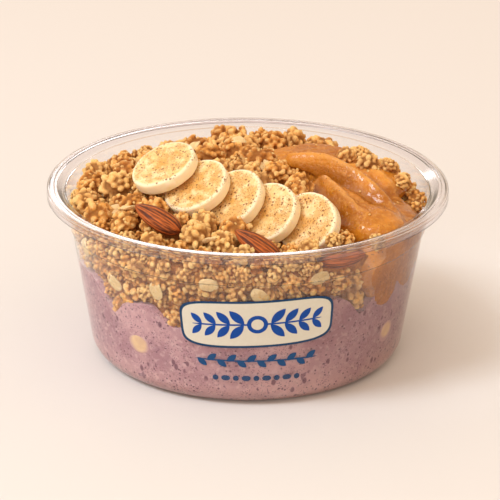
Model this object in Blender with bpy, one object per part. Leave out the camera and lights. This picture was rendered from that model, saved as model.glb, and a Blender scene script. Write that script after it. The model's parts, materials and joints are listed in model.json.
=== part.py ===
"""Acai bowl: a clear plastic bowl filled with a purple smoothie, a heap of granola clusters, a fan of
banana slices, almonds and a swirl of nut butter.

Sizes are in millimetres and are turned into metres where a mesh is made. The origin is on the floor under
the middle of the bowl, +Z is up and -Y is the side that faces the camera. An angle called phi is measured
round the bowl from -Y towards +X.
"""
import math
import random

import bmesh
import bpy
from mathutils import Matrix, Vector
from mathutils.bvhtree import BVHTree

MM = 0.001
SIDES = 48
GAP = 0.3

# Bowl
RIM_R = 90.0
RIM_Z = 78.0
SHEET = 0.7
FOOT_R = 61.8
CORNER_R = 9.3
LEDGE_Z = 59.8
LEDGE_R = 79.4
LEDGE_STEP = 0.9
MOUTH_R = 81.6
MOUTH_Z = 76.1
FLANGE_R = 85.2
LIP_DROP = 3.7

# Smoothie: its level at the wall and the places where granola has sunk into it
LEVEL = 48.5
DIPS = (
    (-51.0, 13.5, 6.0), (-40.0, 4.2, 5.5), (-24.0, 12.5, 8.0), (41.0, 9.5, 4.5), (128.0, 6.0, 9.0), (-140.0, 7.0, 8.0),
)

# Granola heap
CREST_Z = 83.5
EDGE_Z = 69.5
RECESS = 4.4
CLUSTER_R = 6.6
TOP_STEP = 12.6
# Rises and hollows of the heap: middle, height, width
SWELLS = (
    (-40.0, -10.0, 4.5, 17.0), (26.0, -56.0, -7.0, 13.0), (8.0, -50.0, -6.5, 12.0), (-8.0, -44.0, -4.0, 11.0),
    (-46.0, 49.0, -7.5, 20.0), (65.0, 22.0, -5.0, 20.0), (48.0, 50.0, -3.5, 18.0),
)
UNDER = 1.5

# Banana slices: centre, tilt from upright, turn, spin of the long half-axis, the two half-axes
SLICE_T = 5.6
SLICES = (
    (-36.5, -17.3, 90.7, 27.4, -147.6, 161.0, 15.3, 15.3),
    (-21.8, -28.5, 85.3, 33.7, -141.6, 159.4, 15.3, 15.3),
    (-6.4, -34.0, 82.0, 39.7, -136.4, 159.2, 15.2, 15.5),
    (8.9, -40.2, 78.0, 44.3, -132.6, 160.0, 14.8, 15.6),
    (26.6, -45.5, 75.8, 48.7, -128.9, 161.3, 13.9, 15.4),
)

# Almonds: centre and direction of the pointed end
ALMOND_L = 23.5
ALMOND_W = 12.4
ALMOND_T = 8.0
ALMONDS = (
    ((-38.5, -51.0, 79.8), (-0.83, 0.42, 0.36)),
    ((4.5, -66.0, 73.6), (-0.82, 0.34, 0.45)),
    ((40.5, -60.5, 66.5), (0.84, 0.54, -0.05)),
)

# Nut butter: balls (centre, half-axes, turn about Z) that run together into one swirl
NUT_BALLS = (
    ((28.0, 22.0, 76.0), (27.0, 24.0, 9.0), 20.0),
    ((50.0, 6.0, 74.0), (22.0, 22.0, 9.0), -10.0),
    ((40.0, -16.0, 76.5), (17.0, 23.0, 8.5), 32.0),
    ((52.0, -34.0, 71.5), (15.0, 21.0, 9.0), 40.0),
    ((66.0, -22.0, 66.5), (11.0, 21.0, 9.5), 8.0),
    ((60.0, -47.0, 68.0), (7.5, 7.5, 7.0), 0.0),
    ((55.0, -45.0, 57.0), (13.0, 11.0, 12.0), 40.0),
    ((66.0, -29.0, 55.0), (13.0, 13.0, 13.5), 20.0),
    ((73.0, -10.0, 57.0), (10.0, 13.0, 12.0), 0.0),
    ((58.0, -46.0, 48.0), (9.0, 6.0, 9.5), 40.0),
)
RIDGE = ((19.0, 6.0, 85.5), (30.0, 3.0, 85.2), (41.0, -4.0, 84.0), (51.0, -15.0, 81.2), (61.0, -27.0, 76.6), (66.5, -38.0, 71.6))
RIDGE_R = 3.6
NUT_CELL = 1.7
NUT_FACES = 840

# Clusters that lie on the nut butter and beside it: place and radius
LOOSE = ((12.5, -12.0, 6.2), (23.0, -21.5, 6.0), (44.5, 15.5, 4.8), (51.0, 27.0, 4.2), (54.0, 6.0, 4.7), (63.8, 8.5, 3.7), (69.0, 0.0, 3.8))

# Clusters of the heap that stand out: centre and radius
PROUD = (
    (0.5, -8.0, 85.0, 5.4), (-11.0, -66.5, 73.0, 6.4),
    (-22.5, -61.5, 75.0, 6.8), (26.0, -66.5, 71.0, 6.0), (49.5, -56.5, 73.0, 4.6), (37.0, -62.0, 75.0, 4.2),
)

# Banana pieces in the smoothie at the wall: phi, height, half-width, half-height
CHUNKS = ((-40.0, 23.5, 7.0, 5.2), (57.0, 24.0, 5.6, 6.4))


def clear_scene():
    for obj in list(bpy.data.objects):
        bpy.data.objects.remove(obj, do_unlink=True)


def material(name, rgb, roughness, alpha=1.0):
    mat = bpy.data.materials.new(name)
    mat.use_nodes = True
    shader = mat.node_tree.nodes["Principled BSDF"]
    shader.inputs["Base Color"].default_value = (*rgb, 1.0)
    shader.inputs["Roughness"].default_value = roughness
    shader.inputs["Alpha"].default_value = alpha
    return mat


def new_object(name, vertices, faces):
    mesh = bpy.data.meshes.new(name)
    mesh.from_pydata([tuple(c * MM for c in v) for v in vertices], [], faces)
    mesh.update()
    obj = bpy.data.objects.new(name, mesh)
    bpy.context.scene.collection.objects.link(obj)
    face_outward(obj)
    return obj


def face_outward(obj):
    work = bmesh.new()
    work.from_mesh(obj.data)
    bmesh.ops.recalc_face_normals(work, faces=work.faces)
    work.to_mesh(obj.data)
    work.free()


def triangulate(obj):
    work = bmesh.new()
    work.from_mesh(obj.data)
    bmesh.ops.triangulate(work, faces=work.faces)
    work.to_mesh(obj.data)
    work.free()


def remove(obj):
    bpy.data.objects.remove(obj, do_unlink=True)


def copy_of(obj, name):
    twin = bpy.data.objects.new(name, obj.data.copy())
    bpy.context.scene.collection.objects.link(twin)
    return twin


def apply_modifiers(obj):
    depsgraph = bpy.context.evaluated_depsgraph_get()
    mesh = bpy.data.meshes.new_from_object(obj.evaluated_get(depsgraph))
    obj.modifiers.clear()
    obj.data = mesh


def cut(obj, cutter):
    modifier = obj.modifiers.new("cut", "BOOLEAN")
    modifier.operation = "DIFFERENCE"
    modifier.solver = "EXACT"
    modifier.object = cutter
    apply_modifiers(obj)


def keep_inside(obj, shape):
    modifier = obj.modifiers.new("keep", "BOOLEAN")
    modifier.operation = "INTERSECT"
    modifier.solver = "EXACT"
    modifier.object = shape
    apply_modifiers(obj)


def grown(obj, amount):
    """A copy of a piece, moved out along its own vertex normals."""
    twin = copy_of(obj, obj.name + "_grown")
    normals = [v.normal.copy() for v in twin.data.vertices]
    for vertex, normal in zip(twin.data.vertices, normals):
        vertex.co += normal * amount * MM
    twin.data.update()
    return twin


def largest_part(obj):
    """Keeps the biggest body of a mesh and drops scraps and sealed hollows."""
    work = bmesh.new()
    work.from_mesh(obj.data)
    bmesh.ops.remove_doubles(work, verts=work.verts, dist=0.002 * MM)
    left = set(work.faces)
    groups = []
    while left:
        seed = left.pop()
        group = [seed]
        stack = [seed]
        while stack:
            for edge in stack.pop().edges:
                for other in edge.link_faces:
                    if other in left:
                        left.remove(other)
                        group.append(other)
                        stack.append(other)
        groups.append(group)
    groups.sort(key=len)
    for group in groups[:-1]:
        bmesh.ops.delete(work, geom=group, context="FACES")
    work.to_mesh(obj.data)
    work.free()


def turned(name, profile_at, sides=SIDES):
    """A body turned round Z. profile_at(phi) lists (radius, height) from one pole to the other."""
    rows = [profile_at(2.0 * math.pi * k / sides) for k in range(sides)]
    inner = len(rows[0]) - 2
    vertices = [(0.0, 0.0, rows[0][0][1]), (0.0, 0.0, rows[0][-1][1])]
    for k, row in enumerate(rows):
        phi = 2.0 * math.pi * k / sides
        for radius, height in row[1:-1]:
            vertices.append((radius * math.sin(phi), -radius * math.cos(phi), height))
    faces = []
    for k in range(sides):
        a = 2 + k * inner
        b = 2 + (k + 1) % sides * inner
        faces.append((0, b, a))
        faces.append((1, a + inner - 1, b + inner - 1))
        for i in range(inner - 1):
            faces.append((a + i, b + i, b + i + 1, a + i + 1))
    return new_object(name, vertices, faces)


def wall_radius(z):
    """Inner radius of the bowl at a height."""
    corner = CORNER_R - SHEET
    if z < CORNER_R:
        rise = CORNER_R - max(z, SHEET)
        return FOOT_R + math.sqrt(max(corner ** 2 - rise ** 2, 0.0))
    if z < LEDGE_Z:
        share = (z - CORNER_R) / (LEDGE_Z - CORNER_R)
        return FOOT_R + corner + share * (LEDGE_R - SHEET - FOOT_R - corner)
    if z < LEDGE_Z + LEDGE_STEP:
        return LEDGE_R - SHEET
    share = (z - LEDGE_Z - LEDGE_STEP) / (MOUTH_Z - LEDGE_Z - LEDGE_STEP)
    return LEDGE_R + LEDGE_STEP - SHEET + share * (MOUTH_R - LEDGE_R - LEDGE_STEP)


def wall_section():
    """The wall with its round foot, from the flat floor up to the mouth."""
    arc = [math.radians(a) for a in (-90.0, -62.0, -34.0, -6.0)]
    outer = [(FOOT_R + CORNER_R * math.cos(a), CORNER_R + CORNER_R * math.sin(a)) for a in arc]
    outer += [
        (LEDGE_R, LEDGE_Z),
        (LEDGE_R + LEDGE_STEP, LEDGE_Z + LEDGE_STEP),
        (MOUTH_R + SHEET, MOUTH_Z - 0.9),
    ]
    inside = [(MOUTH_R, MOUTH_Z)]
    inside += [(wall_radius(z), z) for z in (LEDGE_Z + LEDGE_STEP + 0.1, LEDGE_Z - 0.1)]
    corner = CORNER_R - SHEET
    inside += [(FOOT_R + corner * math.cos(a), CORNER_R + corner * math.sin(a)) for a in reversed(arc)]
    return outer + inside


def rim_section():
    """The flange and its lip, from where the wall ends."""
    return [
        (MOUTH_R, MOUTH_Z),
        (MOUTH_R + SHEET, MOUTH_Z - 0.9),
        (FLANGE_R + 0.2, RIM_Z - SHEET),
        (RIM_R - SHEET - 0.2, RIM_Z - SHEET),
        (RIM_R - SHEET + 0.1, RIM_Z - LIP_DROP),
        (RIM_R + 0.1, RIM_Z - LIP_DROP),
        (RIM_R, RIM_Z - 1.1),
        (RIM_R - 1.1, RIM_Z),
        (FLANGE_R, RIM_Z),
    ]


def ring(name, section):
    """A closed section of (radius, height) carried round Z."""
    count = len(section)
    vertices, faces = [], []
    for k in range(SIDES):
        phi = 2.0 * math.pi * k / SIDES
        vertices += [(r * math.sin(phi), -r * math.cos(phi), z) for r, z in section]
        a = k * count
        b = (k + 1) % SIDES * count
        for i in range(count):
            j = (i + 1) % count
            faces.append((a + i, b + i, b + j, a + j))
    return new_object(name, vertices, faces)


def level_at_wall(phi):
    """Height of the smoothie at the wall."""
    angle = math.degrees(phi)
    level = LEVEL + 1.8 * math.exp(-((angle - 12.0) / 22.0) ** 2) - 1.2 * math.sin(phi) ** 2
    for middle, depth, width in DIPS:
        away = (angle - middle + 180.0) % 360.0 - 180.0
        level -= depth * math.exp(-(away / width) ** 2)
    return level


def smoothie_top(phi, share):
    """Height of the smoothie's top at a share of the way from the middle to the wall."""
    return LEVEL + (level_at_wall(phi) - LEVEL) * share ** 4


TOP_SHARES = (1.0, 0.9, 0.68, 0.34)


def smoothie_profile(phi):
    corner = CORNER_R - SHEET - GAP
    profile = [(0.0, SHEET + GAP)]
    for a in (-90.0, -62.0, -34.0, -6.0):
        a = math.radians(a)
        profile.append((FOOT_R + corner * math.cos(a), CORNER_R + corner * math.sin(a)))
    level = level_at_wall(phi)
    edge = wall_radius(level) - GAP
    middle = (CORNER_R + level) / 2.0
    profile.append((wall_radius(middle) - GAP, middle))
    profile += [(edge * share, smoothie_top(phi, share)) for share in TOP_SHARES]
    return profile + [(0.0, LEVEL)]


def space_profile(phi):
    """The room inside the wall from just under the smoothie's top to over the top of the heap."""
    level = level_at_wall(phi)
    edge = wall_radius(level) - GAP
    profile = [(0.0, LEVEL - UNDER)]
    profile += [(edge * share, smoothie_top(phi, share) - UNDER) for share in reversed(TOP_SHARES)]
    for z in (LEDGE_Z - 0.1, LEDGE_Z + LEDGE_STEP + 0.1, MOUTH_Z):
        profile.append((wall_radius(z) - GAP, z))
    return profile + [(MOUTH_R - GAP, 120.0), (0.0, 120.0)]


def heap_height(x, y):
    height = EDGE_Z + (CREST_Z - EDGE_Z) * (1.0 - (x * x + y * y) / wall_radius(EDGE_Z) ** 2)
    for middle_x, middle_y, rise, width in SWELLS:
        away = ((x - middle_x) ** 2 + (y - middle_y) ** 2) / width ** 2
        height += rise * math.exp(-away)
    return height


def core_profile(phi):
    level = level_at_wall(phi)
    edge = wall_radius(level) - GAP
    profile = [(0.0, LEVEL - UNDER)]
    profile += [(edge * share, smoothie_top(phi, share) - UNDER) for share in reversed(TOP_SHARES[1:])]
    part_way = (1.0 - RECESS / edge - TOP_SHARES[1]) / (1.0 - TOP_SHARES[1])
    last = profile[-1][1] + part_way * (level - UNDER - profile[-1][1])
    profile.append((edge - RECESS, last))
    top = EDGE_Z - 0.5
    for share in (0.5, 1.0):
        z = level + GAP + share * (top - level - GAP)
        profile.append((wall_radius(z) - GAP - RECESS, z))
    edge = wall_radius(top) - GAP - RECESS
    for share in (0.82, 0.6, 0.36):
        radius = edge * share
        profile.append((radius, heap_height(radius * math.sin(phi), -radius * math.cos(phi))))
    return profile + [(0.0, CREST_Z)]


def ball(name, centre, axes, turn_deg=0.0, around=14, rings=7):
    turn = math.radians(turn_deg)
    vertices = [(0.0, 0.0, -1.0), (0.0, 0.0, 1.0)]
    for k in range(around):
        for i in range(1, rings):
            polar = math.pi * i / rings
            angle = 2.0 * math.pi * k / around
            vertices.append((math.sin(polar) * math.cos(angle), math.sin(polar) * math.sin(angle), -math.cos(polar)))
    placed = []
    for x, y, z in vertices:
        x, y, z = x * axes[0], y * axes[1], z * axes[2]
        placed.append((
            centre[0] + x * math.cos(turn) - y * math.sin(turn),
            centre[1] + x * math.sin(turn) + y * math.cos(turn),
            centre[2] + z,
        ))
    faces = []
    inner = rings - 1
    for k in range(around):
        a = 2 + k * inner
        b = 2 + (k + 1) % around * inner
        faces.append((0, b, a))
        faces.append((1, a + inner - 1, b + inner - 1))
        for i in range(inner - 1):
            faces.append((a + i, b + i, b + i + 1, a + i + 1))
    return new_object(name, placed, faces)


def lump(name, centre, radius, draw, around=6, rings=3):
    """A knobbly granola cluster with few sides. It's kept inside the bowl's wall."""
    obj = ball(name, (0.0, 0.0, 0.0), (radius, radius, radius * 0.92), draw.uniform(0.0, 360.0), around, rings)
    lean = Matrix.Rotation(draw.uniform(-0.6, 0.6), 3, "X") @ Matrix.Rotation(draw.uniform(-0.6, 0.6), 3, "Y")
    for vertex in obj.data.vertices:
        spot = lean @ (vertex.co / MM) * draw.uniform(0.86, 1.16) + Vector(centre)
        limit = wall_radius(spot.z) - GAP - 0.25
        flat = math.hypot(spot.x, spot.y)
        if flat > limit:
            spot.x *= limit / flat
            spot.y *= limit / flat
        vertex.co = spot * MM
    obj.data.update()
    triangulate(obj)
    return obj


def slice_axes(tilt_deg, turn_deg, spin_deg):
    tilt, turn, spin = (math.radians(a) for a in (tilt_deg, turn_deg, spin_deg))
    normal = Vector((math.sin(tilt) * math.cos(turn), math.sin(tilt) * math.sin(turn), math.cos(tilt)))
    level = Vector((0.0, 0.0, 1.0)).cross(normal).normalized()
    rise = normal.cross(level)
    along = level * math.cos(spin) + rise * math.sin(spin)
    return along.cross(normal), along, normal


def banana_slice(name, place, extra=0.0):
    """A round of banana with rounded edges; extra makes a bigger one for cutting its bed."""
    x, y, z, tilt, turn, spin, across, along = place
    side, length, normal = slice_axes(tilt, turn, spin)
    half = SLICE_T / 2.0 + extra
    edge = 0.9
    profile = [(0.0, half), (0.93, half), (1.0, half - edge), (1.0, edge - half), (0.93, -half), (0.0, -half)]
    obj = turned(name, lambda phi: profile, 20)
    for vertex in obj.data.vertices:
        u, v, w = vertex.co / MM
        spot = Vector((x, y, z)) + side * u * (across + extra) + length * v * (along + extra) + normal * w
        vertex.co = spot * MM
    obj.data.update()
    face_outward(obj)
    return obj


def almond(name, centre, direction, extra=0.0):
    """A flattened drop, pointed at one end."""
    axis = Vector(direction).normalized()
    side = Vector((0.0, 0.0, 1.0)).cross(axis).normalized()
    up = axis.cross(side)
    half = ALMOND_L / 2.0
    shape = ((-1.0, 0.0), (-0.9, 0.42), (-0.62, 0.8), (-0.25, 0.98), (0.15, 0.95), (0.5, 0.7), (0.8, 0.36), (1.0, 0.0))
    profile = [(share, station * half) for station, share in shape]
    obj = turned(name, lambda phi: profile, 10)
    for vertex in obj.data.vertices:
        u, v, w = vertex.co / MM
        spot = Vector(centre) + axis * w * (1.0 + extra / half)
        spot += side * u * (ALMOND_W / 2.0 + extra) + up * v * (ALMOND_T / 2.0 + extra)
        vertex.co = spot * MM
    obj.data.update()
    face_outward(obj)
    return obj


def nut_butter_body():
    parts = [ball(f"nut_{i}", c, axes, turn, 20, 10) for i, (c, axes, turn) in enumerate(NUT_BALLS)]
    for i in range(len(RIDGE) - 1):
        start, end = Vector(RIDGE[i]), Vector(RIDGE[i + 1])
        steps = 5
        for k in range(steps):
            spot = start.lerp(end, k / steps)
            parts.append(ball(f"ridge_{i}_{k}", spot, (RIDGE_R, RIDGE_R, RIDGE_R), 0.0, 12, 6))
    work = bmesh.new()
    for part in parts:
        work.from_mesh(part.data)
        remove(part)
    mesh = bpy.data.meshes.new("nut_butter")
    work.to_mesh(mesh)
    work.free()
    body = bpy.data.objects.new("nut_butter", mesh)
    bpy.context.scene.collection.objects.link(body)
    remesh = body.modifiers.new("remesh", "REMESH")
    remesh.mode = "VOXEL"
    remesh.voxel_size = NUT_CELL * MM
    smooth = body.modifiers.new("smooth", "SMOOTH")
    smooth.factor = 0.5
    smooth.iterations = 4
    apply_modifiers(body)
    thin = body.modifiers.new("thin", "DECIMATE")
    thin.ratio = NUT_FACES / (2.0 * len(body.data.polygons))
    apply_modifiers(body)
    largest_part(body)
    face_outward(body)
    return body


def tree_of(obj):
    work = bmesh.new()
    work.from_mesh(obj.data)
    bmesh.ops.triangulate(work, faces=work.faces)
    tree = BVHTree.FromBMesh(work)
    work.free()
    return tree


def inside(tree, point):
    """True where a point is within a closed mesh."""
    hits = 0
    spot = Vector(point)
    for _ in range(40):
        place, _normal, _index, _distance = tree.ray_cast(spot, Vector((0.013, 0.021, 1.0)).normalized())
        if place is None:
            break
        hits += 1
        spot = place + Vector((0.0, 0.0, 1e-6))
    return hits % 2 == 1


def crosses(obj, trees):
    own = tree_of(obj)
    middle = sum((v.co for v in obj.data.vertices), Vector()) / len(obj.data.vertices)
    return any(own.overlap(tree) or inside(tree, middle) for tree in trees)


def top_spots(draw):
    """Places for clusters over the heap, a loose grid out to the wall."""
    spots = []
    rows = int(80.0 / (TOP_STEP * 0.87)) + 1
    for row in range(-rows, rows + 1):
        for column in range(-10, 11):
            x = (column + 0.5 * (row % 2)) * TOP_STEP + draw.uniform(-1.6, 1.6)
            y = row * TOP_STEP * 0.87 + draw.uniform(-1.6, 1.6)
            rho = math.hypot(x, y)
            if rho < wall_radius(EDGE_Z) - 4.0:
                spots.append((x, y, heap_height(x, y) + draw.uniform(-0.6, 1.6)))
    return spots


def wall_spots(draw):
    """Places for the clusters that show through the wall."""
    spots = []
    for row in range(2):
        count = 25
        for k in range(count):
            phi = 2.0 * math.pi * (k + 0.5 * row) / count + draw.uniform(-0.02, 0.02)
            if math.cos(phi) < -0.2 - 0.5 * row:
                continue
            low = level_at_wall(phi) + 4.2
            high = EDGE_Z - 5.0
            z = low + (high - low) * row + draw.uniform(-0.8, 0.8)
            radius = wall_radius(z) - 4.6
            spots.append((radius * math.sin(phi), -radius * math.cos(phi), z))
    return spots


def granola_heap(cutters, blocked):
    """The core with beds for what lies in it, and clusters fused on where they cross nothing else."""
    draw = random.Random(9)
    core = turned("granola_heap", core_profile)
    lumps = bpy.data.collections.new("lumps")
    bpy.context.scene.collection.children.link(lumps)
    for cutter in cutters:
        cut(core, cutter)
    largest_part(core)
    places = [(x, y, z, r) for x, y, z, r in PROUD]
    for x, y, z in top_spots(draw):
        places.append((x, y, z, CLUSTER_R * draw.uniform(0.86, 1.14)))
    for x, y, z in wall_spots(draw):
        places.append((x, y, z, CLUSTER_R * draw.uniform(0.86, 1.1)))
    kept = []
    for index, (x, y, z, radius) in enumerate(places):
        near = any((Vector((x, y, z)) - Vector(p[:3])).length < 0.62 * (radius + p[3]) for p in kept)
        if near:
            continue
        for scale in (1.0, 0.8, 0.62):
            obj = lump(f"lump_{index}", (x, y, z), radius * scale, draw)
            if not crosses(obj, blocked):
                kept.append((x, y, z, radius * scale))
                bpy.context.scene.collection.objects.unlink(obj)
                lumps.objects.link(obj)
                break
            remove(obj)
    modifier = core.modifiers.new("fuse", "BOOLEAN")
    modifier.operation = "UNION"
    modifier.solver = "EXACT"
    modifier.operand_type = "COLLECTION"
    modifier.collection = lumps
    apply_modifiers(core)
    for obj in list(lumps.objects):
        remove(obj)
    bpy.data.collections.remove(lumps)
    largest_part(core)
    return core


def chunk(name, place, extra=0.0):
    """A piece of banana pressed against the inside of the wall."""
    phi, height, half_width, half_height = place
    phi = math.radians(phi)
    deep = 4.6
    base = wall_radius(height) - deep + 0.6
    centre = (base * math.sin(phi), -base * math.cos(phi), height)
    axes = (half_width + extra, deep + extra, half_height + extra)
    obj = ball(name, centre, axes, math.degrees(phi), 12, 6)
    limit_gap = GAP + 0.2 - (2.0 if extra else 0.0)
    for vertex in obj.data.vertices:
        spot = vertex.co / MM
        limit = wall_radius(spot.z) - limit_gap
        flat = math.hypot(spot.x, spot.y)
        if flat > limit:
            spot.x *= limit / flat
            spot.y *= limit / flat
        vertex.co = spot * MM
    obj.data.update()
    return obj


def finish(obj, mat, smooth=True):
    face_outward(obj)
    obj.data.materials.clear()
    obj.data.materials.append(mat)
    for face in obj.data.polygons:
        face.use_smooth = smooth
    obj.data.update()


def main():
    clear_scene()
    plastic = material("clear_plastic", (0.93, 0.94, 0.95), 0.08, 0.3)
    fruit = material("smoothie", (0.42, 0.24, 0.27), 0.5)
    banana = material("banana", (0.93, 0.78, 0.46), 0.5)
    nut = material("almond", (0.3, 0.12, 0.05), 0.6)
    butter = material("nut_butter", (0.55, 0.25, 0.07), 0.25)
    oats = material("granola", (0.66, 0.38, 0.14), 0.8)

    finish(turned("bowl_floor", lambda _phi: [(0.0, 0.0), (FOOT_R, 0.0), (FOOT_R, SHEET), (0.0, SHEET)]), plastic)
    finish(ring("bowl", wall_section()), plastic)
    finish(ring("bowl_rim", rim_section()), plastic)

    smoothie = turned("smoothie", smoothie_profile)
    for index, place in enumerate(CHUNKS, 1):
        bed = chunk(f"bed_{index}", place, GAP)
        cut(smoothie, bed)
        remove(bed)
        finish(chunk(f"banana_chunk_{index}", place), banana)
    largest_part(smoothie)
    triangulate(smoothie)
    finish(smoothie, fruit)

    cutters = []
    for index, place in enumerate(SLICES, 1):
        finish(banana_slice(f"banana_slice_{index}", place), banana)
        cutters.append(banana_slice(f"bed_slice_{index}", place, GAP))
    for index, (centre, direction) in enumerate(ALMONDS, 1):
        finish(almond(f"almond_{index}", centre, direction), nut)
        cutters.append(almond(f"bed_almond_{index}", centre, direction, GAP + 0.05))

    body = nut_butter_body()
    around_body = grown(body, GAP + 0.1)
    for cutter in cutters:
        cut(body, cutter)
    top = tree_of(body)
    draw = random.Random(7)
    for index, (x, y, radius) in enumerate(LOOSE, 1):
        hit, _normal, _face, _distance = top.ray_cast(Vector((x, y, 120.0)) * MM, Vector((0.0, 0.0, -1.0)))
        under = max(hit.z / MM if hit else 0.0, heap_height(x, y))
        piece = lump(f"granola_cluster_{index}", (x, y, under + 0.45 * radius), radius, draw, 8, 5)
        bed = grown(piece, GAP + 0.4)
        cut(body, bed)
        finish(piece, oats)
        cutters.append(bed)
    level = grown(smoothie, GAP + 0.05)
    cut(body, level)
    space = turned("space", space_profile)
    keep_inside(body, space)
    remove(space)
    largest_part(body)
    finish(body, butter)

    cutters += [around_body, level]
    heap = granola_heap(cutters, [tree_of(c) for c in cutters])
    for cutter in cutters:
        remove(cutter)
    finish(heap, oats, smooth=False)


main()
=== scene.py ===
# %% [markdown]
# # Dressing an acai bowl
# The CAD frame gives a clear bowl, the smoothie, a heap of granola, banana slices, almonds and nut butter as
# plain solids. This script swaps each of them for a finished piece in the same place, adds the print on the
# bowl and the crumbs, and lights the whole. Lengths are in millimetres until a mesh is made.

# %% Load the frame
import json
import math
import random

import bpy
import numpy as np
from mathutils import Matrix, Vector, noise
from mathutils.bvhtree import BVHTree

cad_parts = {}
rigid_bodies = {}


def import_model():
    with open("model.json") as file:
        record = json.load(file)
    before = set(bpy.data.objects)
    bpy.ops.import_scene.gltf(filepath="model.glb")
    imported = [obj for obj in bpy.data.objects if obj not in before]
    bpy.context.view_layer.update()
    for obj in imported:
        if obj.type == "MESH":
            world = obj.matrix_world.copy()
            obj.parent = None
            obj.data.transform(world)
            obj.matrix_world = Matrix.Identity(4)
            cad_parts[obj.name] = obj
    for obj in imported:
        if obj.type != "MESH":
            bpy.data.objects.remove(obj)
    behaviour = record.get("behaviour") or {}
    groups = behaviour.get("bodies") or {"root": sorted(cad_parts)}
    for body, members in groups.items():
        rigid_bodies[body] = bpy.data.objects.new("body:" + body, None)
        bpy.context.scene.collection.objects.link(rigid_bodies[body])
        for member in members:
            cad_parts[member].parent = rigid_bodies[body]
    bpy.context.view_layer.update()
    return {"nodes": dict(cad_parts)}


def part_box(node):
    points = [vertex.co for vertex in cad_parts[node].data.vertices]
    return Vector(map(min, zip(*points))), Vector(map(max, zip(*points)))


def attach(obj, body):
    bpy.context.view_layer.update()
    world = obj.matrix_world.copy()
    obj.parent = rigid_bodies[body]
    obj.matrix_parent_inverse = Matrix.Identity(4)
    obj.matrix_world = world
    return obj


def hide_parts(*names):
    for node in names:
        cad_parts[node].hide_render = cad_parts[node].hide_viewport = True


MM = 0.001
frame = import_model()
print("CAD nodes:", sorted(frame["nodes"]))

# %% [markdown]
# ## Shared sizes
# The bowl's wall is the one form that everything inside has to meet, so its inner radius at any height is a
# function. Food that is seen through the wall reaches a little into it, so that no line of air shows between
# the plastic and what it holds.

# %% Bowl sizes
RIM_R, RIM_Z, SHEET = 90.0, 78.0, 0.7
FOOT_R, CORNER_R = 61.8, 9.3
LEDGE_Z, LEDGE_R, LEDGE_STEP = 59.8, 79.4, 0.9
MOUTH_R, MOUTH_Z, FLANGE_R, LIP_DROP = 81.6, 76.1, 85.2, 3.7
INTO_WALL = 0.25


def wall_radius(z):
    """Inner radius of the bowl at a height."""
    corner = CORNER_R - SHEET
    if z < CORNER_R:
        return FOOT_R + math.sqrt(max(corner ** 2 - (CORNER_R - max(z, SHEET)) ** 2, 0.0))
    if z < LEDGE_Z:
        share = (z - CORNER_R) / (LEDGE_Z - CORNER_R)
        return FOOT_R + corner + share * (LEDGE_R - SHEET - FOOT_R - corner)
    if z < LEDGE_Z + LEDGE_STEP:
        return LEDGE_R - SHEET
    share = (z - LEDGE_Z - LEDGE_STEP) / (MOUTH_Z - LEDGE_Z - LEDGE_STEP)
    return LEDGE_R + LEDGE_STEP - SHEET + share * (MOUTH_R - LEDGE_R - LEDGE_STEP)


def on_wall(phi, z, out=0.0):
    """A point at an angle and a height, and so far outside the bowl's inner wall."""
    radius = wall_radius(z) + out
    return Vector((radius * math.sin(phi), -radius * math.cos(phi), z))


print("inner radius at 20, 50 and 75 mm:", [round(wall_radius(z), 1) for z in (20, 50, 75)])

# %% Levels inside the bowl
LEVEL = 48.5
# Angle in degrees, depth and half width in degrees
DIPS = (
    (-51.0, 13.5, 6.0), (-40.0, 4.2, 5.5), (-24.0, 12.5, 8.0), (41.0, 9.5, 4.5),
    (128.0, 6.0, 9.0), (-140.0, 7.0, 8.0),
)
CREST_Z, EDGE_Z = 83.5, 69.5
# X, Y, rise and width
SWELLS = (
    (-40.0, -10.0, 4.5, 17.0), (26.0, -56.0, -7.0, 13.0), (8.0, -50.0, -6.5, 12.0), (-8.0, -44.0, -4.0, 11.0),
    (-46.0, 49.0, -7.5, 20.0), (65.0, 22.0, -5.0, 20.0), (48.0, 50.0, -3.5, 18.0),
)


def level_at_wall(phi):
    """Height of the smoothie at the wall. An angle phi is measured from -Y towards +X."""
    angle = math.degrees(phi)
    level = LEVEL + 1.8 * math.exp(-((angle - 12.0) / 22.0) ** 2) - 1.2 * math.sin(phi) ** 2
    for middle, depth, width in DIPS:
        away = (angle - middle + 180.0) % 360.0 - 180.0
        level -= depth * math.exp(-((away / width) ** 2))
    return level


def heap_height(x, y):
    height = EDGE_Z + (CREST_Z - EDGE_Z) * (1.0 - (x * x + y * y) / wall_radius(EDGE_Z) ** 2)
    for mx, my, rise, width in SWELLS:
        height += rise * math.exp(-((x - mx) ** 2 + (y - my) ** 2) / width ** 2)
    return height


print("heap height in the middle:", round(heap_height(0, 0), 1))

# %% [markdown]
# ## Small tools
# Every new piece starts as a primitive and is shaped by operators, which act on whatever is selected. So each
# step first deselects everything. The tools below select one piece, shape its points by a rule, and close
# and name it.


# %% Selecting, shaping and finishing
def deselect_all():
    if bpy.context.object and bpy.context.object.mode != "OBJECT":
        bpy.ops.object.mode_set(mode="OBJECT")
    for obj in bpy.context.view_layer.objects:
        obj.select_set(False)


def choose(*objects):
    deselect_all()
    for obj in objects:
        obj.select_set(True)
    bpy.context.view_layer.objects.active = objects[0]
    return objects[0]


def named(obj, name):
    obj.name = obj.data.name = name
    return obj


def join(objects, name):
    choose(*objects)
    if len(objects) > 1:
        bpy.ops.object.join()
    return named(bpy.context.object, name)


def apply(obj, kind, **settings):
    """Adds a modifier, sets it and applies it."""
    choose(obj)
    modifier = obj.modifiers.new(kind.title(), kind)
    for key, value in settings.items():
        setattr(modifier, key, value)
    bpy.ops.object.modifier_apply(modifier=modifier.name)


def shape(obj, rule):
    """Moves every point by a rule that takes and gives millimetres."""
    for vertex in obj.data.vertices:
        vertex.co = Vector(rule(vertex.co / MM)) * MM
    obj.data.update()


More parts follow.
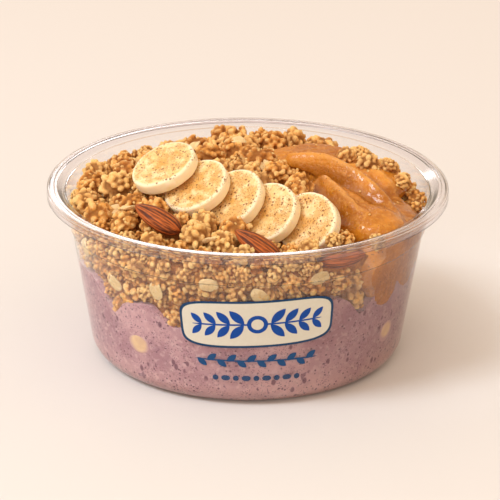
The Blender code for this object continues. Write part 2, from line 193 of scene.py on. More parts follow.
def face_out(obj):
    choose(obj)
    bpy.ops.object.mode_set(mode="EDIT")
    bpy.ops.mesh.select_all(action="SELECT")
    bpy.ops.mesh.remove_doubles(threshold=1e-6)
    bpy.ops.mesh.normals_make_consistent(inside=False)
    bpy.ops.object.mode_set(mode="OBJECT")


def smooth(obj, angle=None):
    choose(obj)
    if angle is None:
        bpy.ops.object.shade_smooth()
    else:
        bpy.ops.object.shade_smooth_by_angle(angle=math.radians(angle))


def hold_in(spot, reach=INTO_WALL):
    """Flattens a point against the wall where it would pass through it."""
    limit = wall_radius(spot.z) + reach
    flat = math.hypot(spot.x, spot.y)
    if flat > limit:
        spot = Vector((spot.x * limit / flat, spot.y * limit / flat, spot.z))
    return spot


# %% Turning a ring up through stations
def turn_up(name, stations, sides):
    """Extrudes a ring through (radius, height) stations and closes both ends."""
    deselect_all()
    first = stations[0]
    bpy.ops.mesh.primitive_circle_add(vertices=sides, radius=first[0] * MM, location=(0.0, 0.0, first[1] * MM))
    obj = bpy.context.object
    bpy.ops.object.transform_apply()
    bpy.ops.object.mode_set(mode="EDIT")
    bpy.ops.mesh.select_all(action="SELECT")
    bpy.ops.mesh.edge_face_add()
    bpy.ops.mesh.inset(thickness=first[0] * 0.5 * MM)
    bpy.ops.mesh.select_all(action="DESELECT")
    bpy.ops.object.mode_set(mode="OBJECT")
    rim = first[0] * 0.98 * MM
    for vertex in obj.data.vertices:
        vertex.select = math.hypot(vertex.co.x, vertex.co.y) > rim
    bpy.context.tool_settings.mesh_select_mode = (True, False, False)
    bpy.ops.object.mode_set(mode="EDIT")
    for (r0, z0), (r1, z1) in zip(stations, stations[1:]):
        bpy.ops.mesh.extrude_edges_move(TRANSFORM_OT_translate={"value": (0.0, 0.0, (z1 - z0) * MM)})
        bpy.ops.transform.resize(value=(r1 / r0, r1 / r0, 1.0))
    bpy.ops.mesh.edge_face_add()
    bpy.ops.object.mode_set(mode="OBJECT")
    face_out(named(obj, name))
    print(name, "has", len(obj.data.polygons), "faces")
    return obj


# %% [markdown]
# ## Wiring materials
# A finish is written as sums: a small class wraps a socket, and each operator adds the Math node for it. Other
# nodes come from one method that takes a type, what goes into its sockets, and its settings.


# %% A socket that can be reckoned with
class Wire:
    def __init__(self, bench, socket):
        self.bench, self.socket = bench, socket

    def _math(self, operation, a, b=0.0):
        return self.bench.node("ShaderNodeMath", {0: a, 1: b}, operation=operation)[0]

    def __add__(self, other):
        return self._math("ADD", self, other)

    def __sub__(self, other):
        return self._math("SUBTRACT", self, other)

    def __rsub__(self, other):
        return self._math("SUBTRACT", other, self)

    def __mul__(self, other):
        return self._math("MULTIPLY", self, other)

    def sine(self):
        return self._math("SINE", self)

    def step(self, low, high, to_low=0.0, to_high=1.0):
        """A smooth step from to_low to to_high as the value goes from low to high."""
        sockets = {"Value": self, "From Min": low, "From Max": high, "To Min": to_low, "To Max": to_high}
        return self.bench.node("ShaderNodeMapRange", sockets, interpolation_type="SMOOTHSTEP")[0]


# %% A bench for one material
class Bench:
    def __init__(self, name, rgb):
        self.material = bpy.data.materials.new(name)
        self.material.use_nodes = True
        self.material.diffuse_color = (*rgb, 1.0)
        self.tree = self.material.node_tree
        self.shader = self.tree.nodes["Principled BSDF"]
        self.out = self.tree.nodes["Material Output"]
        self.shader.inputs["Base Color"].default_value = (*rgb, 1.0)
        self.place = self.node("ShaderNodeTexCoord")["Object"]

    def node(self, kind, sockets=None, **settings):
        made = self.tree.nodes.new(kind)
        for key, value in settings.items():
            setattr(made, key, value)
        for key, value in (sockets or {}).items():
            self.join(value, made.inputs[key])
        return Outlets(self, made)

    def join(self, value, socket):
        if isinstance(value, Wire):
            self.tree.links.new(value.socket, socket)
        elif hasattr(socket.default_value, "__len__") and not hasattr(value, "__len__"):
            socket.default_value = (value,) * len(socket.default_value)
        elif hasattr(value, "__len__") and len(value) == 3 and len(socket.default_value) == 4:
            socket.default_value = (*value, 1.0)
        else:
            socket.default_value = value

    def set(self, **values):
        """Sets or links the shader's sockets, such as base_color or roughness."""
        for key, value in values.items():
            self.join(value, self.shader.inputs[key.replace("_", " ").title().replace("Ior", "IOR")])

    def mix(self, share, a, b):
        return self.node("ShaderNodeMix", {0: share, 6: a, 7: b}, data_type="RGBA")[2]

    def noise(self, scale, detail=2.0, rough=0.5, at=None, warp=0.0):
        sockets = {"Vector": at or self.place, "Scale": scale, "Detail": detail}
        sockets.update({"Roughness": rough, "Distortion": warp})
        return self.node("ShaderNodeTexNoise", sockets)[0]

    def dots(self, scale, low, high, at=None):
        """Round dots, one to a cell: 1 nearer to its middle than low, 0 beyond high."""
        away = self.node("ShaderNodeTexVoronoi", {"Vector": at or self.place, "Scale": scale})[0]
        return 1.0 - away.step(low, high)

    def vector(self, operation, *values, out=0):
        return self.node("ShaderNodeVectorMath", dict(enumerate(values)), operation=operation)[out]

    def stretched(self, factors, at=None):
        return self.vector("MULTIPLY", at or self.place, factors)

    def parts(self, at=None):
        made = self.node("ShaderNodeSeparateXYZ", {"Vector": at or self.place})
        return made["X"], made["Y"], made["Z"]

    def attribute(self, name):
        return self.node("ShaderNodeAttribute", attribute_name=name)["Fac"]

    def bump(self, height, depth_mm, strength=1.0):
        sockets = {"Height": height, "Distance": depth_mm * MM, "Strength": strength}
        self.set(normal=self.node("ShaderNodeBump", sockets)["Normal"])


class Outlets:
    def __init__(self, bench, made):
        self.bench, self.made = bench, made

    def __getitem__(self, key):
        return Wire(self.bench, self.made.outputs[key])


print("materials are wired with", Wire.__name__, "and", Bench.__name__)


# %% Dressing a piece
def dress(obj, bench, slot, *nodes):
    """Gives a piece its finish, hangs it on the root body and hides the CAD nodes that it stands for; slot is not
    used.
    """
    obj.data.materials.clear()
    obj.data.materials.append(bench.material)
    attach(obj, "root")
    if nodes:
        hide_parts(*nodes)
    print("dressed", obj.name, "with", len(obj.data.polygons), "faces")


# %% [markdown]
# ## The clear bowl
# The real bowl is one thin sheet drawn into shape: a rounded foot, a sloping wall, a small ledge that lets
# bowls stack, and a flat flange that ends in a lip. A profile carried round the axis gives all of it, so a
# ring is extruded from station to station, up the outside, over the rim and down the inside. Both sides of a
# sheet must have true normals, or it traps light, so only bends under three degrees are shaded smooth.


# %% Bowl form
def corner_arc(radius, steps):
    turns = [math.radians(-90.0 + 84.0 * k / steps) for k in range(steps + 1)]
    return [(FOOT_R + radius * math.cos(a), CORNER_R + radius * math.sin(a)) for a in turns]


outside = [(30.0, 0.0)] + corner_arc(CORNER_R, 36)
outside += [(LEDGE_R - 0.15, LEDGE_Z - 0.5), (LEDGE_R, LEDGE_Z), (LEDGE_R + LEDGE_STEP, LEDGE_Z + LEDGE_STEP)]
outside += [(LEDGE_R + LEDGE_STEP + 0.2, LEDGE_Z + LEDGE_STEP + 0.7), (MOUTH_R + SHEET, MOUTH_Z - 0.9)]
outside += [(FLANGE_R + 0.2, RIM_Z - SHEET), (RIM_R - 1.7, RIM_Z - SHEET), (RIM_R - 0.9, RIM_Z - 1.2)]
outside += [(RIM_R - 0.65, RIM_Z - 2.0), (RIM_R - 0.6, RIM_Z - LIP_DROP), (RIM_R - 0.3, RIM_Z - LIP_DROP - 0.15)]
over_rim = [(RIM_R + 0.08, RIM_Z - LIP_DROP), (RIM_R, RIM_Z - 1.4), (RIM_R - 0.25, RIM_Z - 0.55)]
over_rim += [(RIM_R - 0.8, RIM_Z - 0.1), (RIM_R - 1.5, RIM_Z), (RIM_R - 3.0, RIM_Z), (RIM_R - 3.3, RIM_Z - 0.14)]
over_rim += [(RIM_R - 3.6, RIM_Z), (FLANGE_R + 0.4, RIM_Z), (FLANGE_R, RIM_Z - 0.15), (MOUTH_R + 0.5, MOUTH_Z + 0.25)]
inside = [(MOUTH_R, MOUTH_Z), (MOUTH_R - 0.25, MOUTH_Z - 0.7)]
inside += [(wall_radius(z), z) for z in (LEDGE_Z + LEDGE_STEP + 0.1, LEDGE_Z - 0.1)]
inside += list(reversed(corner_arc(CORNER_R - SHEET, 36))) + [(30.0, SHEET)]
bowl = turn_up("clear_bowl", outside + over_rim + inside, 256)
smooth(bowl, 3.0)

# %% [markdown]
# The plastic is clear and very glossy. It bends light like glass, and lamps have to shine through it onto the
# food. A pure glass shader would leave the food in the dark, so for shadow rays alone it gives way to a
# transparent one.

# %% Clear plastic
# The flange looks thicker and duller than the wall; it takes over between these radii, in metres
THICK_FROM = (0.0815, 0.0835)
plastic = Bench("clear_plastic", (0.97, 0.965, 0.97))
out = plastic.vector("LENGTH", plastic.stretched((1.0, 1.0, 0.0)), out="Value")
thick = out.step(*THICK_FROM)
plastic.set(base_color=plastic.mix(thick, (0.985, 0.98, 0.985), (0.875, 0.84, 0.86)))
plastic.set(roughness=out.step(*THICK_FROM, 0.025, 0.1), transmission_weight=1.0, ior=1.45)
glassy = Wire(plastic, plastic.shader.outputs[0])
see_through = plastic.node("ShaderNodeBsdfTransparent", {"Color": (0.95, 0.945, 0.945)})[0]
shadow_ray = plastic.node("ShaderNodeLightPath")["Is Shadow Ray"]
both = plastic.node("ShaderNodeMixShader", {0: shadow_ray, 1: glassy, 2: see_through})[0]
plastic.join(both, plastic.out.inputs["Surface"])
dress(bowl, plastic, "clear_plastic", "bowl", "bowl_floor", "bowl_rim")

# %% [markdown]
# ## The smoothie
# It fills the lower bowl and presses against the wall, so its side takes the wall's own profile. Its edge is
# uneven, because granola has sunk into it in places. The ring is turned up at even heights and then every
# ring is moved to its share of the level at that angle.


# %% Smoothie form
SIDE_FROM = 66.0


def smoothie_rule(spot):
    flat = math.hypot(spot.x, spot.y)
    phi = math.atan2(spot.x, -spot.y)
    wobble = 0.9 * noise.noise(Vector((math.sin(phi) * 9.0, math.cos(phi) * 9.0, 0.0)))
    level = level_at_wall(phi) + wobble
    z = spot.z
    if z > CORNER_R:
        z = CORNER_R + (z - CORNER_R) / (LEVEL - CORNER_R) * (level - CORNER_R)
        if flat > SIDE_FROM:
            grown = (wall_radius(z) + INTO_WALL) / flat
            return spot.x * grown, spot.y * grown, z
    return spot.x, spot.y, z


stations = [(30.0, SHEET - INTO_WALL)] + corner_arc(CORNER_R - SHEET + INTO_WALL, 8)
stations += [(wall_radius(z) + INTO_WALL, z) for z in np.linspace(12.0, LEVEL, 12)]
stations += [(72.0, LEVEL + 0.01), (60.0, LEVEL + 0.02), (30.0, LEVEL + 0.03)]
smoothie = turn_up("smoothie_fill", stations, 144)
shape(smoothie, smoothie_rule)
smooth(smoothie, 60.0)

# %% [markdown]
# The fruit is blended with milk, so it's a soft lilac pink with dark flecks and short streaks of berry skin,
# in patches that are a little lighter or darker. Two pieces of banana show through it as pale blurs.

# %% Smoothie finish
fruit = Bench("smoothie_blend", (0.5, 0.28, 0.31))
broad = fruit.noise(38.0, 3.0, 0.6)
fine = fruit.noise(420.0, 2.0, 0.5)
body = fruit.mix(broad.step(0.35, 0.65), (0.45, 0.225, 0.25), (0.68, 0.41, 0.41))
grain = fruit.noise(150.0, 4.0, 0.65)
body = fruit.mix(grain.step(0.5, 0.68) * 0.45, body, (0.34, 0.155, 0.19))
body = fruit.mix(fine.step(0.5, 0.7) * 0.5, body, (0.8, 0.56, 0.54))
east, _, high = fruit.parts()
# Painted shade: the smoothie is darkened towards +X, the side away from the key lamp
body = fruit.mix(east.step(0.0, 0.078) * 0.42, body, (0.3, 0.135, 0.15))
# Painted light: the smoothie is lightened near the floor, standing for light bounced up from the floor
body = fruit.mix((1.0 - high.step(0.003, 0.02)) * 0.35, body, (0.86, 0.55, 0.47))
where = fruit.noise(75.0, 2.0, 0.5)
flecks = fruit.dots(480.0, 0.17, 0.28) * fruit.noise(240.0, 1.0).step(0.42, 0.54)
dots = fruit.dots(1000.0, 0.22, 0.36) * fruit.noise(130.0, 2.0).step(0.38, 0.52)
streaks = fruit.noise(150.0, 2.0, 0.55, warp=1.6, at=fruit.stretched((1.0, 1.0, 0.6))).step(0.665, 0.73)
skins = fruit.dots(230.0, 0.16, 0.28, fruit.stretched((1.0, 1.0, 0.62))) * where.step(0.48, 0.55)
body = fruit.mix(streaks * 0.65, body, (0.2, 0.07, 0.12))
body = fruit.mix(skins * 0.8, body, (0.17, 0.05, 0.085))
body = fruit.mix(dots * 0.6, body, (0.24, 0.09, 0.12))
body = fruit.mix(flecks * 0.8, body, (0.12, 0.035, 0.07))
fruit.set(base_color=body, roughness=0.42, subsurface_weight=0.15, subsurface_scale=0.004)
fruit.set(subsurface_radius=(1.0, 0.5, 0.5))
dress(smoothie, fruit, "smoothie", "smoothie")

# %% [markdown]
# ## Banana pieces in the smoothie
# They touch the wall and are blurred by a film of smoothie. Each is a squashed ball that is flattened against
# the wall, and its colour goes over into the smoothie's towards its outline.

# %% Sunken banana pieces
# Angle, height, half width and half height
CHUNKS = ((-40.0, 23.5, 7.0, 5.2), (57.0, 24.0, 5.6, 6.4))
for index, (phi, height, half_width, half_height) in enumerate(CHUNKS, 1):
    phi = math.radians(phi)
    deep = 4.6
    middle = on_wall(phi, height, -2.3)
    deselect_all()
    bpy.ops.mesh.primitive_uv_sphere_add(segments=40, ring_count=24, radius=MM)
    chunk = bpy.context.object
    turn = Matrix.Rotation(phi, 3, "Z")
    shape(chunk, lambda p: hold_in(turn @ Vector((p.x * half_width, p.y * deep, p.z * half_height)) + middle, 0.3))
    smooth(named(chunk, f"sunken_banana_{index}"))
    blur = Bench(f"sunken_banana_{index}", (0.75, 0.5, 0.33))
    face = tuple(on_wall(phi, height, 0.3) * MM)
    spread = blur.vector("DISTANCE", blur.place, face, out="Value") * (1000.0 / half_width)
    spread = spread + blur.noise(200.0, 2.0) * 0.25
    tint = blur.mix(blur.noise(180.0, 3.0).step(0.35, 0.7), (0.87, 0.62, 0.34), (0.76, 0.5, 0.3))
    blur.set(base_color=blur.mix(spread.step(0.55, 0.98), tint, (0.59, 0.335, 0.34)), roughness=0.45)
    dress(chunk, blur, "banana", f"banana_chunk_{index}")

# %% [markdown]
# ## Banana slices
# Five rounds lie in a fan, each leaning on the next. A slice is a short oval cylinder with soft edges, a face
# that dips a little towards the middle, and a slightly uneven outline. One is modelled by inset, and each copy
# is shaped and bevelled. A flat map of its face is kept, because the seeds follow the slice and not the bowl.

# %% Slice sizes and axes
SLICE_T = 5.6
# X, Y and Z of the middle, tilt, turn and spin in degrees, and two half widths
SLICES = (
    (-36.5, -17.3, 90.7, 27.4, -147.6, 161.0, 15.3, 15.3),
    (-21.8, -28.5, 85.3, 33.7, -141.6, 159.4, 15.3, 15.3),
    (-6.4, -34.0, 82.0, 39.7, -136.4, 159.2, 15.2, 15.5),
    (8.9, -40.2, 78.0, 44.3, -132.6, 160.0, 14.8, 15.6),
    (26.6, -45.5, 75.8, 48.7, -128.9, 161.3, 13.9, 15.4),
)


def slice_axes(tilt_deg, turn_deg, spin_deg):
    tilt, turn, spin = (math.radians(a) for a in (tilt_deg, turn_deg, spin_deg))
    normal = Vector((math.sin(tilt) * math.cos(turn), math.sin(tilt) * math.sin(turn), math.cos(tilt)))
    level = Vector((0.0, 0.0, 1.0)).cross(normal).normalized()
    along = level * math.cos(spin) + normal.cross(level) * math.sin(spin)
    return along.cross(normal), along, normal


def slice_blank(name):
    """A round of unit radius: a cylinder, inset six times on both faces; its edge is softened on each copy."""
    deselect_all()
    bpy.ops.mesh.primitive_cylinder_add(vertices=72, radius=1.0, depth=SLICE_T, end_fill_type="NGON")
    blank = bpy.context.object
    bpy.ops.object.mode_set(mode="EDIT")
    bpy.context.tool_settings.mesh_select_mode = (False, False, True)
    bpy.ops.mesh.select_all(action="DESELECT")
    bpy.ops.object.mode_set(mode="OBJECT")
    for face in blank.data.polygons:
        face.select = abs(face.normal.z) > 0.9
    bpy.ops.object.mode_set(mode="EDIT")
    for width in (0.045, 0.06, 0.12, 0.16, 0.2, 0.2):
        bpy.ops.mesh.inset(thickness=width, use_boundary=True)
    bpy.ops.object.mode_set(mode="OBJECT")
    return named(blank, name)


blank = slice_blank("slice_blank")
print("slice blank", len(blank.data.polygons), "faces")


# %% Five slices
def slice_rule(place, seed):
    x, y, z, tilt, turn, spin, across, along = place
    side, length, normal = slice_axes(tilt, turn, spin)
    half = SLICE_T / 2.0

    def rule(p):
        p = p * MM
        radius = math.hypot(p.x, p.y)
        angle = math.atan2(p.y, p.x)
        wave = 1.0 + 0.012 * math.cos(3.0 * angle + seed) + 0.012 * noise.noise(Vector((p.x * 2.0, p.y * 2.0, seed)))
        lift = 1.0 if p.z > 0.0 else -1.0
        edge = 0.0 if radius < 0.9 else (radius - 0.9) / 0.1
        # The face falls off at its edge, dips in the middle, and has a low ring in between
        high = half - 0.55 * edge ** 2 - 0.35 * max(0.0, 1.0 - radius / 0.8) ** 0.8
        high += 0.16 * math.exp(-((radius - 0.88) / 0.08) ** 2)
        high += 0.22 * noise.noise(Vector((p.x * 3.0, p.y * 3.0, seed * 1.7)))
        reach = 1.0 - 0.02 * edge
        u, v = p.x * wave * reach * across, p.y * wave * reach * along
        return Vector((x, y, z)) + side * u + length * v + normal * lift * high

    return rule


slices = []
for index, place in enumerate(SLICES, 1):
    choose(blank)
    bpy.ops.object.duplicate(linked=False)
    piece = named(bpy.context.object, f"banana_round_{index}")
    flat_map = piece.data.uv_layers.new(name="face_map")
    piece.data.uv_layers.active = flat_map
    for loop in piece.data.loops:
        spot = piece.data.vertices[loop.vertex_index].co
        flat_map.data[loop.index].uv = (0.5 + spot.x * 0.5, 0.5 + spot.y * 0.5)
    shape(piece, slice_rule(place, index * 1.9))
    apply(piece, "BEVEL", width=0.55 * MM, segments=3, limit_method="ANGLE", angle_limit=math.radians(50.0))
    face_out(piece)
    smooth(piece, 60.0)
    slices.append(piece)
bpy.data.objects.remove(blank, do_unlink=True)
print("slices:", [obj.name for obj in slices])

# %% [markdown]
# Ripe banana is pale cream. Three seams meet in its middle, with a darker wet heart and tiny seeds along
# them, and fine lines run out to the edge. Cinnamon lies on it as dark specks and as yellow-brown dust that
# has soaked in.


# %% Banana finish
def banana_bench(index):
    work = Bench(f"banana_flesh_{index}", (0.93, 0.78, 0.47))
    uv = work.node("ShaderNodeUVMap", uv_map="face_map")["UV"]
    flat = work.vector("SUBTRACT", uv, (0.5, 0.5, 0.0))
    u, v, _ = work.parts(flat)
    out = work.vector("LENGTH", flat, out="Value") * 2.0
    angle = work.node("ShaderNodeMath", {0: v, 1: u}, operation="ARCTAN2")[0]
    lobes = ((angle * 3.0 + index * 1.3).sine() * 0.5 + 0.5) * 0.2
    heart = 1.0 - (out + lobes + work.noise(9.0, 3.0, at=flat) * 0.25).step(0.3, 0.62)
    rays = work.noise(5.0, 2.0, at=work.node("ShaderNodeCombineXYZ", {0: angle * 3.2, 1: out * 0.7})[0])
    mottle = work.noise(230.0, 4.0, 0.65)
    tone = work.mix(mottle.step(0.38, 0.62), (0.91, 0.69, 0.37), (0.84, 0.54, 0.21))
    tone = work.mix(rays.step(0.5, 0.72) * 0.35, tone, (0.95, 0.76, 0.45))
    tone = work.mix(heart * 0.8, tone, (0.74, 0.38, 0.08))
    tone = work.mix(out.step(0.84, 0.95) * 0.85, tone, (0.97, 0.83, 0.58))
    normal_z = work.parts(work.node("ShaderNodeNewGeometry")["Normal"])[2]
    up = normal_z.step(0.25, 0.5)
    inner = 1.0 - out.step(0.72, 0.98)
    dust = work.noise(190.0, 4.0, 0.68)
    tone = work.mix(dust.step(0.44, 0.58) * up * inner * 0.68, tone, (0.68, 0.33, 0.07))
    where = (dust + inner * 0.07).step(0.46, 0.54) * up
    grain = work.dots(1300.0, 0.22, 0.4) * where
    big = work.dots(560.0, 0.2, 0.32) * work.noise(170.0, 2.0).step(0.44, 0.52) * up
    tone = work.mix(grain * 0.85, tone, (0.36, 0.13, 0.025))
    tone = work.mix(big * 0.9, tone, (0.22, 0.06, 0.01))
    seeds = work.dots(17.0, 0.1, 0.17, flat) * heart * work.noise(20.0, 1.0, at=flat).step(0.5, 0.6)
    tone = work.mix(seeds * 0.6, tone, (0.35, 0.17, 0.06))
    work.set(base_color=tone, roughness=work.noise(300.0, 2.0).step(0.3, 0.7, 0.36, 0.55))
    work.set(subsurface_weight=0.3, subsurface_scale=0.003, subsurface_radius=(1.0, 0.65, 0.3))
    relief = work.noise(420.0, 4.0, 0.6) + mottle + rays * 0.4 + (grain + big) * 0.5
    work.set(specular_ior_level=0.35)
    work.bump(relief, 0.4, 0.6)
    return work


for index, piece in enumerate(slices, 1):
    dress(piece, banana_bench(index), "banana", f"banana_slice_{index}")

# %% [markdown]
# ## Almonds
# An almond is a flattened drop with a pointed end, and its brown skin has fine grooves along its length. A
# round primitive is drawn out to the drop, and the grooves are pressed in as waves that run lengthwise.

# %% Almonds
ALMOND_L, ALMOND_W, ALMOND_T = 23.5, 12.4, 8.0
# Middle, and the way the tip points
ALMONDS = (
    ((-38.5, -51.0, 79.8), (-0.83, 0.42, 0.36)),
    ((4.5, -66.0, 73.6), (-0.82, 0.34, 0.45)),
    ((40.5, -60.5, 66.5), (0.84, 0.54, -0.05)),
)


def almond_rule(centre, direction, seed):
    axis = Vector(direction).normalized()
    side = Vector((0.0, 0.0, 1.0)).cross(axis).normalized()
    up = axis.cross(side)

    def rule(p):
        p = p.normalized()
        around = math.atan2(p.y, p.x)
        girth = math.sqrt(max(1.0 - p.z ** 2, 0.0))
        girth *= 1.0 - 0.17 * p.z if p.z < 0.0 else 1.0 - 0.3 * p.z ** 1.5
        grooves = 0.045 * noise.noise(Vector((math.cos(around) * 3.4, math.sin(around) * 3.4, p.z * 0.7 + seed)))
        grooves += 0.028 * noise.noise(Vector((math.cos(around) * 8.0, math.sin(around) * 8.0, p.z * 1.2 + seed)))
        girth *= 1.0 + grooves
        spot = Vector(centre) + axis * p.z * ALMOND_L / 2.0
        spot += side * math.cos(around) * girth * ALMOND_W / 2.0 + up * math.sin(around) * girth * ALMOND_T / 2.0
        return hold_in(spot)

    return rule


almonds = []
for index, (centre, direction) in enumerate(ALMONDS, 1):
    deselect_all()
    bpy.ops.mesh.primitive_uv_sphere_add(segments=72, ring_count=40, radius=MM)
    piece = named(bpy.context.object, f"almond_whole_{index}")
    shape(piece, almond_rule(centre, direction, index * 3.1))
    smooth(piece)
    almonds.append(piece)

skin = Bench("almond_skin", (0.33, 0.12, 0.05))
uv = skin.node("ShaderNodeUVMap")["UV"]
along = skin.stretched((17.0, 1.3, 1.0), uv)
fibre = skin.noise(1.6, 4.0, 0.65, at=along)
dusty = skin.noise(260.0, 3.0, 0.6)
tone = skin.mix(fibre.step(0.42, 0.58), (0.09, 0.016, 0.003), (0.56, 0.13, 0.022))
tone = skin.mix(dusty.step(0.55, 0.8) * 0.3, tone, (0.68, 0.26, 0.08))
skin.set(base_color=tone, roughness=fibre.step(0.3, 0.7, 0.42, 0.62), specular_ior_level=0.3)
skin.bump(fibre + dusty * 0.2, 0.8, 1.0)
for index, piece in enumerate(almonds, 1):
    dress(piece, skin, "almond", f"almond_{index}")

# %% [markdown]
# ## Nut butter
# It was dropped on the granola with a spoon, folded over itself in ridges, and ran down inside the wall.
# Balls, with rows of small ones along two of the ridges, are joined, remeshed to one skin and smoothed. Along
# three paths the skin is raised, and lowered on the right of each. Soft noise makes it uneven, and it is
# flattened against the wall.

# %% Nut butter form
# Middle, half sizes and turn in degrees
NUT_BALLS = (
    ((28.0, 22.0, 76.0), (27.0, 24.0, 9.0), 20.0),
    ((50.0, 6.0, 74.0), (22.0, 22.0, 9.0), -10.0),
    ((40.0, -16.0, 76.5), (17.0, 23.0, 8.5), 32.0),
    ((52.0, -34.0, 71.5), (15.0, 21.0, 9.0), 40.0),
    ((66.0, -22.0, 66.5), (11.0, 21.0, 9.5), 8.0),
    ((60.0, -47.0, 68.0), (7.5, 7.5, 7.0), 0.0),
    ((55.0, -45.0, 57.0), (13.0, 11.0, 12.0), 40.0),
    ((66.0, -29.0, 55.0), (13.0, 13.0, 13.5), 20.0),
    ((73.0, -10.0, 57.0), (10.0, 13.0, 12.0), 0.0),
    ((58.0, -46.0, 48.0), (9.0, 6.0, 9.5), 40.0),
    ((66.0, -40.0, 61.5), (9.0, 9.0, 9.0), 0.0),
)
RIDGE = (
    (19.0, 6.0, 85.7), (31.0, 1.5, 85.6), (41.0, -7.5, 84.8),
    (50.5, -17.0, 82.0), (61.0, -28.0, 77.6), (67.0, -38.0, 72.0),
)
FOLD = ((33.0, -11.0, 83.6), (38.0, -22.0, 82.0), (44.0, -33.0, 79.0), (51.0, -42.0, 75.6), (60.0, -48.0, 72.6))
CREST = ((30.0, 16.0, 84.0), (44.0, 10.0, 83.0), (57.0, 1.0, 79.0), (67.0, -10.0, 75.0), (73.0, -24.0, 71.0))
RIDGE_R, FOLD_R = 4.2, 3.2


def soft_ball(centre, axes, turn_deg=0.0):
    deselect_all()
    spot = [c * MM for c in centre]
    rotation = (0.0, 0.0, math.radians(turn_deg))
    bpy.ops.mesh.primitive_uv_sphere_add(segments=40, ring_count=24, radius=1.0, location=spot, rotation=rotation)
    ball = bpy.context.object
    ball.scale = [a * MM for a in axes]
    bpy.ops.object.transform_apply(location=True, rotation=True, scale=True)
    return ball


def along_path(points, steps):
    """Points on a smooth path, with how far along they are."""
    spots = [Vector(p) for p in points]
    for i in range(len(spots) - 1):
        before, after = spots[max(i - 1, 0)], spots[min(i + 2, len(spots) - 1)]
        for k in range(steps):
            t = k / steps
            slope_a, slope_b = (spots[i + 1] - before) / 2.0, (after - spots[i]) / 2.0
            h1, h2 = 2 * t ** 3 - 3 * t ** 2 + 1, -2 * t ** 3 + 3 * t ** 2
            h3, h4 = t ** 3 - 2 * t ** 2 + t, t ** 3 - t ** 2
            yield spots[i] * h1 + spots[i + 1] * h2 + slope_a * h3 + slope_b * h4, (i + t) / (len(spots) - 1)


balls = [soft_ball(*ball) for ball in NUT_BALLS]
for spot, share in along_path(RIDGE, 12):
    size = RIDGE_R * (0.72 + 0.4 * math.sin(math.pi * min(share * 1.15, 1.0)))
    balls.append(soft_ball(spot, (size, size, size)))
for spot, share in along_path(FOLD, 12):
    size = FOLD_R * (0.55 + 0.55 * math.sin(math.pi * min(share + 0.1, 1.0)))
    balls.append(soft_ball(spot, (size, size, size)))
butter = join(balls, "nut_butter_swirl")
apply(butter, "REMESH", mode="VOXEL", voxel_size=0.85 * MM)
apply(butter, "SMOOTH", factor=0.5, iterations=3)


# Path, height and width of a fold, depth of the valley on its right
FOLDS = [
    ([spot for spot, _share in along_path(path, 3)], *sizes)
    for path, sizes in ((RIDGE, (2.2, 2.0, 3.6)), (FOLD, (1.5, 2.2, 2.4)), (CREST, (1.8, 2.6, 2.4)))
]
folded = []


def side_of(path, p):
    """Distance in plan from a path, above zero on its right-hand side, and how far along it the point is."""
    least, share = 1e9, 0.0
    for k, (start, end) in enumerate(zip(path, path[1:])):
        run, off = (end - start).to_2d(), (p - start).to_2d()
        t = min(max(off.dot(run) / run.length_squared, 0.0), 1.0)
        off -= run * t
        if off.length < abs(least):
            least, share = math.copysign(off.length, off.cross(run)), (k + t) / (len(path) - 1)
    return least, share


def butter_rule(p):
    broad = noise.noise(p * 0.045 + Vector((3.0, 1.0, 7.0)))
    fine = noise.noise(p * 0.16) + 0.6 * noise.noise(p * 0.34)
    fold = 0.0
    if p.z > 68.0:
        for path, high, wide, deep in FOLDS:
            away, share = side_of(path, p)
            hold = math.sin(math.pi * min(0.13 + share, 1.0)) ** 0.5
            valley = math.exp(-(((away - 5.8) / 2.6) ** 2))
            fold += hold * (high * math.exp(-((away / wide) ** 2)) - deep * valley)
    folded.append(fold + 0.5 * fine)
    return hold_in(Vector((p.x, p.y, p.z + 0.9 * broad + 0.6 * fine + fold)))


shape(butter, butter_rule)
# The fold heights are kept as "rise" for a painted highlight on the crests and painted shade in the valleys
rise = butter.data.attributes.new("rise", "FLOAT", "POINT")
rise.data.foreach_set("value", np.clip(0.5 + np.array(folded) / 4.0, 0.0, 1.0).astype(np.float32))
smooth(butter)
print("nut butter faces", len(butter.data.polygons))

# %% [markdown]
# Ground nuts in their oil are caramel brown and glossy, with tiny dark specks of skin and streaks where the
# oil is thicker. Folds get a painted highlight on top and painted shade in their valleys. The front has a wet
# coat; the part behind is duller, or it would mirror the sky.

# %% Nut butter finish
paste = Bench("nut_butter", (0.6, 0.28, 0.08))
ribbon = paste.noise(34.0, 3.0, 0.55, warp=0.8)
grit = paste.noise(520.0, 3.0, 0.65)
tone = paste.mix(ribbon.step(0.32, 0.68), (0.4, 0.118, 0.006), (0.64, 0.225, 0.015))
tone = paste.mix(grit.step(0.45, 0.7) * 0.4, tone, (0.8, 0.38, 0.07))
rise = paste.attribute("rise")
# Painted shade in the fold valleys, then a painted highlight on the fold crests
tone = paste.mix((1.0 - rise).step(0.5, 0.95) * 0.7, tone, (0.3, 0.085, 0.008))
tone = paste.mix(rise.step(0.55, 1.0) * 0.45, tone, (0.86, 0.42, 0.1))
specks = paste.dots(560.0, 0.13, 0.22) * paste.noise(170.0, 1.0).step(0.5, 0.57)
tone = paste.mix(specks * 0.8, tone, (0.14, 0.045, 0.015))
north = paste.parts()[1]
behind = north.step(-0.012, 0.012)
paste.set(base_color=tone, roughness=ribbon.step(0.3, 0.7, 0.14, 0.28) + behind * 0.3, specular_ior_level=0.26)
paste.set(coat_weight=(1.0 - behind) * 0.4, coat_roughness=0.08)
paste.set(subsurface_weight=0.12, subsurface_scale=0.003, subsurface_radius=(1.0, 0.5, 0.2))
ripple = paste.noise(70.0, 2.0, 0.5, warp=0.6) * 2.2
paste.bump(grit * 0.7 + paste.noise(160.0, 4.0, 0.6) + ripple, 0.9, 1.1)
dress(butter, paste, "nut_butter", "nut_butter")
